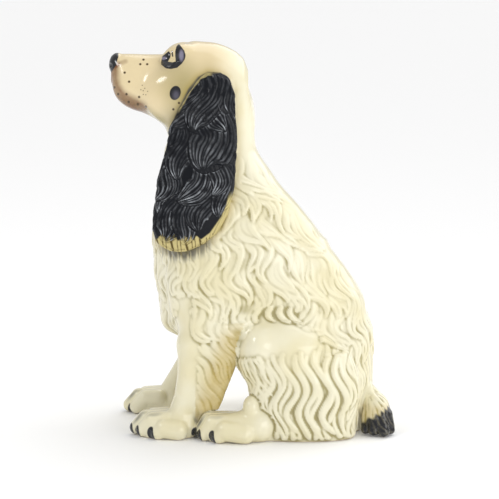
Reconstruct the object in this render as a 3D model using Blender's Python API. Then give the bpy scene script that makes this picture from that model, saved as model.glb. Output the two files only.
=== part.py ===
"""Seated spaniel figurine in glazed earthenware, as the pieces it is luted together from.

The dog faces -X with its left side towards -Y. The ground is Z = 0, and X = Y = 0 is the middle of its
outline seen from above. Stations are in millimetres and become metres when a mesh is made.
"""

import math

import bmesh
import bpy
from mathutils import Vector

MM = 0.001

# Driving dimensions, in millimetres.
WALL = 5.0                  # thickness of the cast walls
SEAM = 0.3                  # gap between two pieces that are luted together
NECK_SEAM_Z = 290.0         # the head casting meets the body casting here
ELBOW_SEAM_Z = 96.0         # the forelegs meet the chest here
FORELEG_Y = 47.0            # middle of each foreleg from the dog's middle plane
RIGHT_PAW_LEAD = 13.0       # how far the right foreleg stands ahead of the left one
HAUNCH_Y = 52.0             # middle of each haunch
HIND_FOOT_Y = 62.0          # middle of each hind foot
RIGHT_FOOT_TOE_X = -9.0     # the right hind foot is drawn back under its haunch
RIGHT_FOOT_LENGTH = 0.6     # share of the left foot's length that the drawn-back foot has
RIGHT_HAUNCH_TUCK = 16.0    # how far the right haunch's lower front edge stands back
TUCK_TOP_Z = 75.0           # height where that tuck has run out
EAR_Y = 53.0                # middle of each ear flap at half its length
DRAIN_HOLE_R = 10.0         # hole in the flat base that lets slip and steam out
DRAIN_HOLE_X = 52.0
VENT_R = 4.0                # hole from the body's hollow into each foreleg
VENT_X = -46.0
FLOOR_DEPTH = 20.0          # how far the ground trimmer reaches below Z = 0
RING_STEP = 9.0             # spacing of the rings along a loft

# Stations of the lofts. Those along Z read (z, front x, back x, half width), from the ground up.
TRUNK = [(96, -86, 96, 61), (105, -93.5, 104, 64), (118, -96.5, 110, 66), (143, -99.5, 108, 66),
         (164, -102.5, 97, 65), (186, -104, 81, 63), (208, -104, 66.5, 60), (233, -102.5, 46.5, 55),
         (252, -98.5, 29.5, 49.5), (270, -94.5, 17, 45.5), (283, -92, 8, 43), (290, -90.5, 4.5, 42)]
RUMP = [(-4, 6, 119, 55), (20, 2, 124, 60), (60, -2, 125.5, 64), (90, -4, 125, 66),
        (113, 2, 122, 64), (132, 14, 114.5, 59), (150, 30, 100, 48)]
HAUNCH = [(-6, -2.6, 100, 24), (20, -2.6, 104, 25), (54, -3, 106, 26), (70, -7, 105, 26),
          (90, -12, 99, 25.5), (104, -11.5, 84, 24), (116, -10.5, 64, 21), (126, -5, 42, 16),
          (131, 5, 24, 8)]
NECK = [(290, -90.5, 4.5, 42), (299, -86.5, 2.5, 41.5), (312, -82, 2, 41), (330, -70, 1.5, 40),
        (350, -58, -2.5, 35), (362, -50, -10, 26)]
FORELEG = [(6, -84, -60, 10), (16, -85, -54, 10.5), (27, -84.5, -41, 11.5), (36, -83, -34, 13),
           (47, -78, -28.5, 15), (60, -76.2, -23, 16.5), (78, -76, -17, 17.5), (95.7, -76.6, -12, 18.5)]
EAR = [(369, -43, -35, 3, -13), (366, -52, -26, 6, -12), (353, -62, -18.5, 8, -9),
       (334, -72, -16.5, 10, -6), (314, -82, -14.6, 11, -3), (284, -89, -15.6, 12, 0),
       (253, -96.5, -18.7, 12, 3), (228, -100, -26.7, 12, 6), (211, -98.5, -39, 11, 8),
       (200, -92, -53, 8, 8.5), (194.5, -81, -66, 4, 8.5)]

# Those along X read (x, low z, high z, half width), from the nose back.
HEAD = [(-145.7, 367, 381, 4), (-144, 356, 386.5, 9), (-140, 346, 388, 14), (-133, 337, 388, 18.5),
        (-124, 331, 387.5, 21.5), (-110, 326, 387, 24), (-98, 319.5, 387, 27), (-90, 313, 388.5, 31),
        (-84, 306, 391, 35), (-75, 299, 397, 39), (-63, 294, 400, 41.5), (-50, 291, 399.6, 42.5),
        (-36, 291, 398, 42), (-23, 293, 393, 39), (-13, 299, 386.5, 33), (-8, 308, 380.5, 27),
        (-4, 320, 371, 18), (-2.5, 334, 360, 8)]
BELLY = [(-82, 91, 122, 20), (-60, 78, 120, 24), (-40, 69, 118, 26), (-20, 63, 118, 27),
         (0, 60, 118, 27), (22, 60, 118, 26)]
FORE_PAW = [(-127.5, 3, 10, 7), (-124.5, -1, 16, 12), (-117, -3, 25, 15.5), (-108, -3, 31.5, 16.5),
            (-96, -3, 34, 16), (-84, -3, 37, 15), (-72, -3, 34, 14.5), (-62, -3, 20, 12),
            (-57, 2, 12, 8)]
HIND_FOOT = [(-56.7, 3, 14, 7), (-53.5, -1, 22, 11.5), (-45, -3, 31, 14.5), (-35, -3, 36.5, 15.5),
             (-20, -3, 39, 15.5), (-12, -3, 42, 15), (-2, -3, 46, 14), (8, -3, 46, 13)]

# Middle line of the tail and its radius there: (x, y, z, r).
TAIL = [(104, -6, 48, 9), (116, -15, 41, 13), (126, -27, 30, 15), (131, -38, 21, 15),
        (135, -47, 14, 12), (139, -55, 8, 6)]

# Glazes: base colour, roughness.
GLAZES = {
    "cream_glaze": ((0.83, 0.77, 0.58), 0.12),
    "black_glaze": ((0.015, 0.015, 0.02), 0.15),
    "tail_glaze": ((0.45, 0.38, 0.2), 0.15),
}


def clear_scene():
    for obj in list(bpy.data.objects):
        bpy.data.objects.remove(obj, do_unlink=True)


def new_collection(name):
    collection = bpy.data.collections.new(name)
    bpy.context.scene.collection.children.link(collection)
    return collection


def glaze(piece, kind):
    """A glossy material of the piece's own."""
    color, roughness = GLAZES[kind]
    material = bpy.data.materials.new(f"{piece}_{kind}")
    material.use_nodes = True
    shader = material.node_tree.nodes["Principled BSDF"]
    shader.inputs["Base Color"].default_value = (*color, 1.0)
    shader.inputs["Roughness"].default_value = roughness
    shader.inputs["Metallic"].default_value = 0.0
    shader.inputs["Coat Weight"].default_value = 0.6
    return material


def add_object(name, bm, collection):
    """Make an object from a bmesh in millimetres."""
    bmesh.ops.recalc_face_normals(bm, faces=bm.faces)
    bmesh.ops.scale(bm, vec=Vector((MM, MM, MM)), verts=bm.verts)
    mesh = bpy.data.meshes.new(name)
    bm.to_mesh(mesh)
    bm.free()
    mesh.shade_smooth()
    obj = bpy.data.objects.new(name, mesh)
    collection.objects.link(obj)
    return obj


def as_cutter(obj):
    obj.display_type = "WIRE"
    obj.hide_render = True
    return obj


def smooth_rows(rows):
    """Rows between the stations, on a cubic through them, about RING_STEP apart."""
    def slope(i, k):
        before = rows[max(i - 1, 0)]
        after = rows[min(i + 1, len(rows) - 1)]
        return (after[k] - before[k]) / (after[0] - before[0])

    out = []
    for i in range(len(rows) - 1):
        here, there = rows[i], rows[i + 1]
        span = there[0] - here[0]
        steps = max(1, round(abs(span) / RING_STEP))
        for j in range(steps):
            t = j / steps
            row = [here[0] + t * span]
            for k in range(1, len(here)):
                value = ((2 * t**3 - 3 * t**2 + 1) * here[k] + (3 * t**2 - 2 * t**3) * there[k]
                         + (t**3 - 2 * t**2 + t) * span * slope(i, k)
                         + (t**3 - t**2) * span * slope(i + 1, k))
                row.append(value)
            out.append(row)
    out.append(list(rows[-1]))
    return out


def signed_power(value, power):
    return math.copysign(abs(value) ** power, value)


def loft(name, collection, rows, along, mid_y=0.0, grow=0.0, points=24, fullness=2.3):
    """A closed skin through one ring a row.

    Each ring is a superellipse in the plane across `along`, of exponent `fullness`. `grow` moves the
    skin out, or in when it is negative. A fifth number in a row moves its ring away from Y = 0.
    """
    bm = bmesh.new()
    rings = []
    smooth = smooth_rows(rows)
    direction = math.copysign(1.0, smooth[-1][0] - smooth[0][0])
    for index, row in enumerate(smooth):
        place, low, high, half = row[:4]
        outward = row[4] if len(row) > 4 else 0.0
        if index == 0:
            place -= grow * direction
        if index == len(smooth) - 1:
            place += grow * direction
        reach = max((high - low) / 2 + grow, 0.6)
        half = max(half + grow, 0.6)
        ring = []
        for k in range(points):
            angle = 2 * math.pi * (k + 0.5) / points
            across = (low + high) / 2 + reach * signed_power(math.cos(angle), 2 / fullness)
            y = mid_y + outward * math.copysign(1.0, mid_y)
            y += half * signed_power(math.sin(angle), 2 / fullness)
            spot = (across, y, place) if along == "Z" else (place, y, across)
            ring.append(bm.verts.new(spot))
        rings.append(ring)
    for lower, upper in zip(rings, rings[1:]):
        for k in range(points):
            bm.faces.new((lower[k], lower[(k + 1) % points], upper[(k + 1) % points], upper[k]))
    bm.faces.new(rings[0])
    bm.faces.new(rings[-1])
    return add_object(name, bm, collection)


def block(name, collection, low, high):
    bm = bmesh.new()
    bmesh.ops.create_cube(bm, size=1.0)
    low, high = Vector(low), Vector(high)
    bmesh.ops.scale(bm, vec=high - low, verts=bm.verts)
    bmesh.ops.translate(bm, vec=(low + high) / 2, verts=bm.verts)
    return as_cutter(add_object(name, bm, collection))


def drill(name, collection, x, y, low_z, high_z, radius):
    bm = bmesh.new()
    bmesh.ops.create_cone(bm, cap_ends=True, segments=24, radius1=radius, radius2=radius,
                          depth=high_z - low_z)
    bmesh.ops.translate(bm, vec=Vector((x, y, (low_z + high_z) / 2)), verts=bm.verts)
    return as_cutter(add_object(name, bm, collection))


def boolean(target, operand, operation):
    modifier = target.modifiers.new(f"{operation.lower()}_{operand.name}", "BOOLEAN")
    modifier.operation = operation
    modifier.solver = "EXACT"
    modifier.object = operand


def join(target, operand):
    boolean(target, as_cutter(operand), "UNION")


def cut(target, operand):
    boolean(target, as_cutter(operand), "DIFFERENCE")


def shifted(rows, lead):
    """The same stations of a loft along Z, moved back by `lead`."""
    return [(row[0], row[1] + lead, row[2] + lead, *row[3:]) for row in rows]


def moved(rows, lead):
    """The same stations of a loft along X, moved back by `lead`."""
    return [(row[0] + lead, *row[1:]) for row in rows]


def haunch_rows(side):
    """The haunch's stations. The right one's lower front edge stands back over its foot."""
    tuck = RIGHT_HAUNCH_TUCK if side > 0 else 0.0
    return [(z, front + tuck * max(0.0, 1 - z / TUCK_TOP_Z), back, half)
            for z, front, back, half in HAUNCH]


def hind_foot_rows(side):
    """The hind foot's stations. The right foot shows only its toes."""
    if side < 0:
        return HIND_FOOT
    toe = HIND_FOOT[0][0]
    return [(RIGHT_FOOT_TOE_X + (row[0] - toe) * RIGHT_FOOT_LENGTH, *row[1:]) for row in HIND_FOOT]


def make_torso(parts, cutters):
    """The body casting: chest, belly, rump and haunches in one hollow shell."""
    torso = loft("torso_shell", parts, TRUNK, "Z", points=32)
    join(torso, loft("rump_outside", cutters, RUMP, "Z", points=28))
    join(torso, loft("belly_outside", cutters, BELLY, "X", points=20))
    for side, name in ((-1, "left"), (1, "right")):
        join(torso, loft(f"{name}_haunch_outside", cutters, haunch_rows(side), "Z", side * HAUNCH_Y))
    cut(torso, block("ground", cutters, (-200, -120, -FLOOR_DEPTH), (200, 120, 0)))

    hollow_trunk = [row for row in TRUNK if row[0] > ELBOW_SEAM_Z]
    hollow_trunk.append((NECK_SEAM_Z + 3 * WALL, *TRUNK[-1][1:]))
    hollow = loft("torso_hollow", cutters, hollow_trunk, "Z", grow=-WALL, points=24)
    join(hollow, loft("rump_hollow", cutters, [(0, *RUMP[0][1:])] + RUMP[1:], "Z", grow=-WALL))
    cut(torso, hollow)
    cut(torso, drill("drain_hole", cutters, DRAIN_HOLE_X, 0, -FLOOR_DEPTH, 2 * WALL, DRAIN_HOLE_R))
    for side, name in ((-1, "left"), (1, "right")):
        cut(torso, drill(f"{name}_leg_vent", cutters, VENT_X, side * FORELEG_Y * 0.9,
                         ELBOW_SEAM_Z - WALL, ELBOW_SEAM_Z + 4 * WALL, VENT_R))
    torso.data.materials.append(glaze("torso_shell", "cream_glaze"))
    return torso


def make_head(parts, cutters):
    """The head casting, hollow and open at the neck."""
    head = loft("head_shell", parts, HEAD, "X", points=24, fullness=2.2)
    neck_rows = [(NECK_SEAM_Z - WALL, *NECK[0][1:])] + NECK[1:]
    join(head, loft("neck_outside", cutters, neck_rows, "Z"))
    cut(head, block("below_neck_seam", cutters, (-200, -120, 200), (200, 120, NECK_SEAM_Z + SEAM)))

    hollow = loft("head_hollow", cutters, HEAD[2:-3], "X", grow=-WALL, points=18, fullness=2.2)
    hollow_rows = [(NECK_SEAM_Z - 3 * WALL, *NECK[0][1:])] + NECK[1:]
    join(hollow, loft("neck_hollow", cutters, hollow_rows, "Z", grow=-WALL, points=20))
    cut(head, hollow)
    head.data.materials.append(glaze("head_shell", "cream_glaze"))
    return head


def make_ear(parts, cutters, side, name):
    """A long flap that lies along the head, the neck and the shoulder."""
    ear = loft(f"{name}_ear", parts, EAR, "Z", side * EAR_Y, points=20)
    cut(ear, loft(f"{name}_ear_head_seat", cutters, HEAD, "X", grow=SEAM, fullness=2.2))
    cut(ear, loft(f"{name}_ear_neck_seat", cutters, NECK, "Z", grow=SEAM))
    cut(ear, loft(f"{name}_ear_chest_seat", cutters, TRUNK, "Z", grow=SEAM, points=32))
    ear.data.materials.append(glaze(f"{name}_ear", "black_glaze"))
    return ear


def make_foreleg(parts, cutters, side, name, lead):
    """A hollow leg with its paw, open at the elbow."""
    mid_y = side * FORELEG_Y
    leg = loft(f"{name}_foreleg", parts, shifted(FORELEG, lead), "Z", mid_y)
    join(leg, loft(f"{name}_fore_paw", cutters, moved(FORE_PAW, lead), "X", mid_y, points=20))
    cut(leg, block(f"{name}_fore_ground", cutters, (-200, -120, -FLOOR_DEPTH), (200, 120, 0)))

    hollow_rows = [row for row in FORELEG if row[0] > 20] + [(ELBOW_SEAM_Z + 3 * WALL, *FORELEG[-1][1:])]
    cut(leg, loft(f"{name}_foreleg_hollow", cutters, shifted(hollow_rows, lead), "Z", mid_y,
                  grow=-WALL, points=16))
    cut(leg, loft(f"{name}_foreleg_belly_seat", cutters, BELLY, "X", grow=SEAM, points=20))
    leg.data.materials.append(glaze(f"{name}_foreleg", "cream_glaze"))
    return leg


def make_hind_foot(parts, cutters, side, name):
    """A solid foot that comes out from under its haunch."""
    foot = loft(f"{name}_hind_foot", parts, hind_foot_rows(side), "X", side * HIND_FOOT_Y, points=20)
    cut(foot, block(f"{name}_hind_ground", cutters, (-200, -120, -FLOOR_DEPTH), (200, 120, 0)))
    cut(foot, loft(f"{name}_foot_haunch_seat", cutters, haunch_rows(side), "Z", side * HAUNCH_Y,
                   grow=SEAM))
    cut(foot, loft(f"{name}_foot_rump_seat", cutters, RUMP, "Z", grow=SEAM, points=28))
    if side < 0:
        cut(foot, loft(f"{name}_foot_feather_seat", cutters, FORELEG, "Z", side * FORELEG_Y, grow=SEAM))
        cut(foot, loft(f"{name}_foot_heel_seat", cutters, FORE_PAW, "X", side * FORELEG_Y, grow=SEAM,
                       points=20))
    foot.data.materials.append(glaze(f"{name}_hind_foot", "cream_glaze"))
    return foot


def make_tail(parts, cutters):
    """A docked tail that curls to the dog's left, luted to the back of the rump."""
    curve = bpy.data.curves.new("tail_line", "CURVE")
    curve.dimensions = "3D"
    curve.bevel_depth = MM
    curve.bevel_resolution = 4
    curve.resolution_u = 4
    curve.use_fill_caps = True
    spline = curve.splines.new("NURBS")
    spline.points.add(len(TAIL) - 1)
    for point, (x, y, z, radius) in zip(spline.points, TAIL):
        point.co = (x * MM, y * MM, z * MM, 1.0)
        point.radius = radius
    spline.use_endpoint_u = True
    spline.order_u = 4
    guide = bpy.data.objects.new("tail_line", curve)
    cutters.objects.link(guide)
    bpy.context.view_layer.update()
    evaluated = guide.evaluated_get(bpy.context.evaluated_depsgraph_get())
    mesh = bpy.data.meshes.new_from_object(evaluated)
    bm = bmesh.new()
    bm.from_mesh(mesh)
    bmesh.ops.remove_doubles(bm, verts=bm.verts, dist=0.00001)
    bmesh.ops.recalc_face_normals(bm, faces=bm.faces)
    bm.to_mesh(mesh)
    bm.free()
    tail = bpy.data.objects.new("tail", mesh)
    tail.matrix_world = guide.matrix_world
    bpy.data.objects.remove(guide, do_unlink=True)
    parts.objects.link(tail)
    mesh.shade_smooth()
    cut(tail, loft("tail_rump_seat", cutters, RUMP, "Z", grow=SEAM, points=28))
    mesh.materials.clear()
    mesh.materials.append(glaze("tail", "tail_glaze"))
    return tail


def main():
    clear_scene()
    parts = new_collection("ceramic_dog_figurine")
    cutters = new_collection("cutters")
    make_torso(parts, cutters)
    make_head(parts, cutters)
    for side, name in ((-1, "left"), (1, "right")):
        make_ear(parts, cutters, side, name)
        make_foreleg(parts, cutters, side, name, 0.0 if side < 0 else -RIGHT_PAW_LEAD)
        make_hind_foot(parts, cutters, side, name)
    make_tail(parts, cutters)


main()
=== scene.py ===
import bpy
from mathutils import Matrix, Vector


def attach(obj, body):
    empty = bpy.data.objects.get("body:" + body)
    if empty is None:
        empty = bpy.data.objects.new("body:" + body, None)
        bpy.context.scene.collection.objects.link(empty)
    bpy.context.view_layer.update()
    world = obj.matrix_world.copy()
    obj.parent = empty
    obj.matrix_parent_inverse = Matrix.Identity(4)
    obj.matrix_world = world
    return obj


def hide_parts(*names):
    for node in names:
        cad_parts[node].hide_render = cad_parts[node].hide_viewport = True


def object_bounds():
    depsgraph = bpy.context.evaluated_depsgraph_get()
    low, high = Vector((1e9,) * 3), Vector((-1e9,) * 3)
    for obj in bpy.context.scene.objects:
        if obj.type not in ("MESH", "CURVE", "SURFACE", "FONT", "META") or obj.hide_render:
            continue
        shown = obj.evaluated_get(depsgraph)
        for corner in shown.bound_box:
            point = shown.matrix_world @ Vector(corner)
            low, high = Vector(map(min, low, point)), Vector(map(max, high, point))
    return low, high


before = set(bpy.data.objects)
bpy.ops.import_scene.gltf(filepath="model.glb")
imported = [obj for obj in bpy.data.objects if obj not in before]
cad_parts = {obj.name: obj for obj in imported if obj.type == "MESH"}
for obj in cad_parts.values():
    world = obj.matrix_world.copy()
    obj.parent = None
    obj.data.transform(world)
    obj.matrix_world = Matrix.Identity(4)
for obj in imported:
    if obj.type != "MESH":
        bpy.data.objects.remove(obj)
CAD_BOUNDS = [list(corner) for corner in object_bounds()]

# Seated spaniel figurine in glazed earthenware. The dog faces -X, its left side is towards -Y.
# Shapes are sculpted in figure units: the figure is 400 units tall (a unit is about 1 mm), Z = 0 is
# the ground and X = Y = 0 the middle of its outline. `to_world` turns them into the frame's metres.

import math

import bpy
import numpy as np
import openvdb
from mathutils import Vector

TALL = 400.0
LOW, HIGH = (np.array(corner, float) for corner in CAD_BOUNDS)
UNIT = (HIGH[2] - LOW[2]) / TALL
ORIGIN = np.array([(LOW[0] + HIGH[0]) / 2, (LOW[1] + HIGH[1]) / 2, LOW[2]])

BODY_CELL = 1.2       # grid cell of the body, in units
HEAD_CELL = 0.75
EAR_CELL = 0.62
FAR = 60.0                              # field value where no shape reaches
FULLNESS = 2.2                          # exponent of the lofts' rings, 2 is an ellipse
CELL_STRIDE = 4096                      # cells along one axis when points are sorted into cells
VIEW_TILT = math.radians(10)            # the camera looks down by this much
NECK_SEAM = 290.0                       # the head casting meets the body casting here

TORSO, LEFT_LEG, RIGHT_LEG, LEFT_FOOT, RIGHT_FOOT, TAIL = range(6)
PIECES = ("torso_shell", "left_foreleg", "right_foreleg", "left_hind_foot", "right_hind_foot",
          "tail")

FORELEG_Y = 47.0
RIGHT_PAW_LEAD = 13.0                   # how far the right foreleg stands ahead of the left one
HAUNCH_Y = 50.0
DOME_Y = 45.0
CURL_Y = 62.0
RIGHT_SKIRT_TUCK = 14.0                 # how far the right haunch's front edge stands back
HIND_FOOT_Y = 62.0
RIGHT_FOOT_BACK = 56.0                  # the right hind foot is drawn back under its haunch


def to_world(points):
    return ORIGIN + np.asarray(points, float) * UNIT


# ---------- clay: distance fields on a grid

def ramp(low, high, value):
    """0 at `low` and 1 at `high`, with soft ends."""
    t = np.clip((value - low) / (high - low), 0.0, 1.0)
    return t * t * (3 - 2 * t)


def smooth_rows(rows, at):
    """Read the stations' numbers at the places `at`, on a cubic through them."""
    rows = np.array(rows, float)
    if rows[0, 0] > rows[-1, 0]:
        rows = rows[::-1]
    place, values = rows[:, 0], rows[:, 1:]
    at = np.clip(at, place[0], place[-1])
    slopes = np.gradient(values, place, axis=0)
    i = np.clip(np.searchsorted(place, at) - 1, 0, len(place) - 2)
    span = place[i + 1] - place[i]
    t = ((at - place[i]) / span)[:, None]
    span = span[:, None]
    return ((2 * t**3 - 3 * t**2 + 1) * values[i] + (3 * t**2 - 2 * t**3) * values[i + 1]
            + (t**3 - 2 * t**2 + t) * span * slopes[i] + (t**3 - t**2) * span * slopes[i + 1])


class Shape:
    """A distance function and the box it matters in."""
    def __init__(self, low, high, distance):
        self.low = np.array(low, float)
        self.high = np.array(high, float)
        self.distance = distance


def blob(center, radii, pitch=0.0):
    """An ellipsoid. `pitch` tips its X axis up, in degrees."""
    cx, cy, cz = center
    a, b, c = radii
    cos, sin = math.cos(math.radians(pitch)), math.sin(math.radians(pitch))

    def distance(x, y, z):
        dx, dy, dz = x - cx, y - cy, z - cz
        dx, dz = dx * cos + dz * sin, dz * cos - dx * sin
        near = np.sqrt((dx / a) ** 2 + (dy / b) ** 2 + (dz / c) ** 2) + 1e-6
        steep = np.sqrt((dx / a**2) ** 2 + (dy / b**2) ** 2 + (dz / c**2) ** 2) + 1e-6
        return near * (near - 1) / steep

    reach = max(radii)
    return Shape(np.array(center) - reach, np.array(center) + reach, distance)


def limb(points):
    """A round bar through (x, y, z, radius) points."""
    points = np.array(points, float)

    def distance(x, y, z):
        best = None
        for start, end in zip(points, points[1:]):
            line = end[:3] - start[:3]
            away = x - start[0], y - start[1], z - start[2]
            t = np.clip(sum(d * part for d, part in zip(away, line)) / (line @ line), 0, 1)
            near = np.sqrt(sum((d - t * part) ** 2 for d, part in zip(away, line)))
            near = near - (start[3] + t * (end[3] - start[3]))
            best = near if best is None else np.minimum(best, near)
        return best

    reach = points[:, 3:4]
    return Shape((points[:, :3] - reach).min(0), (points[:, :3] + reach).max(0), distance)


def stack(rows, along, mid_y=0.0, fullness=FULLNESS):
    """A loft through superellipse rings (place, low, high, half width[, outward shift])."""
    numbers = np.array([list(row) + [0.0] * (5 - len(row)) for row in rows], float)
    start, end = numbers[:, 0].min(), numbers[:, 0].max()
    sign = math.copysign(1.0, mid_y)

    def distance(x, y, z):
        place, across = (z, x) if along == "Z" else (x, z)
        shape = place.shape
        low, high, half, out = smooth_rows(numbers, place.ravel()).T
        low, high, half, out = (v.reshape(shape) for v in (low, high, half, out))
        u = across - (low + high) / 2
        v = y - mid_y - out * sign
        near = (np.abs(u / ((high - low) / 2)) ** fullness + np.abs(v / half) ** fullness)
        near = near ** (1 / fullness) + 1e-4
        d = np.sqrt(u * u + v * v) * (1 - 1 / near)
        return np.maximum(d, np.maximum(start - place, place - end))

    wide = (numbers[:, 3] + np.abs(numbers[:, 4])).max()
    first, last = numbers[:, 1].min(), numbers[:, 2].max()
    if along == "Z":
        return Shape((first, mid_y - wide, start), (last, mid_y + wide, end), distance)
    return Shape((start, mid_y - wide, first), (end, mid_y + wide, last), distance)


class Clay:
    """A field of distances to the surface, negative inside, on a regular grid."""
    def __init__(self, low, high, cell):
        self.cell = cell
        self.low = np.array(low, float)
        self.axes = [np.arange(a, b + cell, cell, dtype=np.float32) for a, b in zip(low, high)]
        self.field = np.full([len(a) for a in self.axes], FAR, np.float32)
        self.part = np.zeros(self.field.shape, np.int8)

    def window(self, shape, margin):
        spans = []
        for k, axis in enumerate(self.axes):
            first = np.searchsorted(axis, shape.low[k] - margin)
            last = np.searchsorted(axis, shape.high[k] + margin)
            if first >= last:
                return None
            spans.append(slice(first, last))
        return tuple(spans)

    def add(self, shape, blend, part=None, sign=1):
        """Join a shape on with a soft seam, or cut it out where `sign` is -1."""
        spans = self.window(shape, blend + 6)
        if spans is None:
            return
        x, y, z = (axis[span] for axis, span in zip(self.axes, spans))
        d = shape.distance(x[:, None, None], y[None, :, None], z[None, None, :])
        d, old = d.astype(np.float32), sign * self.field[spans]
        if part is not None:
            self.part[spans][d < old] = part
        mix = np.maximum(blend - np.abs(old - d), 0)
        self.field[spans] = sign * (np.minimum(old, d) - mix * mix / (4 * blend))

    def carve(self, shape, blend):
        self.add(shape, blend, sign=-1)

    def finish(self):
        self.slopes = np.gradient(self.field, self.cell)

    def sample(self, grid, points):
        """Read a grid at any points, trilinearly."""
        at = np.clip((points - self.low) / self.cell, 0, np.array(grid.shape) - 1.001)
        base = at.astype(int)
        fx, fy, fz = (at - base).T
        i, j, k = base.T
        total = 0
        for di, wx in ((0, 1 - fx), (1, fx)):
            for dj, wy in ((0, 1 - fy), (1, fy)):
                for dk, wz in ((0, 1 - fz), (1, fz)):
                    total = total + grid[i + di, j + dj, k + dk] * wx * wy * wz
        return total

    def normal(self, points):
        n = np.stack([self.sample(s, points) for s in self.slopes], 1)
        return n / (np.linalg.norm(n, axis=1, keepdims=True) + 1e-9)

    def settle(self, points, times=1):
        """Move points onto the surface."""
        for _ in range(times):
            n = np.stack([self.sample(s, points) for s in self.slopes], 1)
            d = self.sample(self.field, points)
            points = points - n * (d / ((n * n).sum(1) + 1e-6))[:, None]
        return points

    def trim(self, points, beyond):
        """Slide the points beyond the neck seam along the surface, onto the seam's plane."""
        moved = points[beyond]
        for _ in range(4):
            moved[:, 2] = NECK_SEAM
            moved = self.settle(moved)
        moved[:, 2] = NECK_SEAM
        points[beyond] = moved
        return points

    def skin(self):
        """The surface as points and quads, and the part that each point belongs to."""
        grid = openvdb.FloatGrid(FAR)
        grid.copyFromArray(self.field)
        points, quads = grid.convertToQuads(0.0)
        points = self.low + points.astype(float) * self.cell
        points = self.settle(points, 2)
        nearest = np.rint((points - self.low) / self.cell).astype(int)
        nearest = np.clip(nearest, 0, np.array(self.part.shape) - 1)
        return points, quads.astype(np.int64), self.part[tuple(nearest.T)]


# ---------- hair: raised tapered strands

def tangent(way, n):
    """The share of `way` that runs along the surface, at length 1."""
    way = way - n * (way * n).sum(1, keepdims=True)
    return way / (np.linalg.norm(way, axis=1, keepdims=True) + 1e-9)


def trace(clay, start, flow, steps, stride):
    """Walk from the start points along `flow` on the surface. Returns points (strand, step, 3)."""
    here = clay.settle(start, 5)
    path = [here]
    for _ in range(steps):
        n = clay.normal(here)
        here = clay.settle(here + tangent(flow(here, n), n) * stride[:, None])
        path.append(here)
    return np.stack(path, 1)


def turned(way, n, angle):
    """Turn directions about the surface normals."""
    way = tangent(way, n)
    side = np.cross(n, way)
    return way * np.cos(angle)[:, None] + side * np.sin(angle)[:, None]


def close_pairs(points, middles, reach):
    """Indices (point, middle) of all pairs that share a cell or neighbouring cells of `reach`."""
    origin = points.min(0) - 2 * reach
    keys = ((points - origin) / reach).astype(np.int64)
    keys = (keys[:, 0] * CELL_STRIDE + keys[:, 1]) * CELL_STRIDE + keys[:, 2]
    order = np.argsort(keys, kind="stable")
    keys = keys[order]
    cells = ((middles - origin) / reach).astype(np.int64)
    found_points, found_middles = [], []
    for step in np.ndindex(3, 3, 3):
        x, y, z = (cells + step).T - 1
        wanted = (x * CELL_STRIDE + y) * CELL_STRIDE + z
        first = np.searchsorted(keys, wanted, "left")
        count = np.searchsorted(keys, wanted, "right") - first
        offset = np.arange(count.sum()) - np.repeat(np.cumsum(count) - count, count)
        found_points.append(order[np.repeat(first, count) + offset])
        found_middles.append(np.repeat(np.arange(len(middles)), count))
    return np.concatenate(found_points), np.concatenate(found_middles)


def emboss(points, path, half_width, height, sharp=0.8):
    """Height of the tallest strand over each point. Widths and heights are (strand, step)."""
    raised = np.zeros(len(points))
    starts, ends = path[:, :-1], path[:, 1:]
    count, steps = starts.shape[:2]
    size = max(1, 12000 // steps)
    for first in range(0, count, size):
        batch = slice(first, first + size)
        a, b = starts[batch].reshape(-1, 3), ends[batch].reshape(-1, 3)
        w0, w1 = half_width[batch, :-1].ravel(), half_width[batch, 1:].ravel()
        h0, h1 = height[batch, :-1].ravel(), height[batch, 1:].ravel()
        reach = max(w0.max(), w1.max()) + 1.5
        pi, si = close_pairs(points, (a + b) / 2, reach)
        line = b[si] - a[si]
        rel = points[pi] - a[si]
        t = np.clip((rel * line).sum(1) / ((line * line).sum(1) + 1e-9), 0, 1)
        away = np.linalg.norm(rel - line * t[:, None], axis=1)
        width = w0[si] + (w1[si] - w0[si]) * t
        tall = h0[si] + (h1[si] - h0[si]) * t
        inside = away < width
        pi, away, width, tall = pi[inside], away[inside], width[inside], tall[inside]
        bump = tall * (1 - (away / width) ** 2) ** sharp
        np.maximum.at(raised, pi, bump)
    return raised


def spread(rng, points, spacing):
    """Points chosen at random, none of them nearer to another than the spacing."""
    order = rng.permutation(len(points))
    cells = np.floor(points[order] / (spacing / 3) + rng.random(3)).astype(np.int64)
    keys = (cells[:, 0] * CELL_STRIDE + cells[:, 1]) * CELL_STRIDE + cells[:, 2]
    _, first = np.unique(keys, return_index=True)
    candidates = points[order[rng.permutation(first)]]
    chosen = np.empty_like(candidates)
    count = 0
    for point in candidates:
        if count == 0 or ((chosen[:count] - point) ** 2).sum(1).min() > spacing**2:
            chosen[count] = point
            count += 1
    return chosen[:count]


def wavy(down, wave, period, drift_phase):
    """A combing direction that swings about `down`; neighbouring hairs swing together."""
    def flow(p, n):
        drift = 2 * math.pi * (p[:, 2] / period + 0.16 * np.sin(p[:, 0] / 27 + p[:, 1] / 31))
        return turned(down(p), n, wave * np.sin(drift + drift_phase))
    return flow


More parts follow.
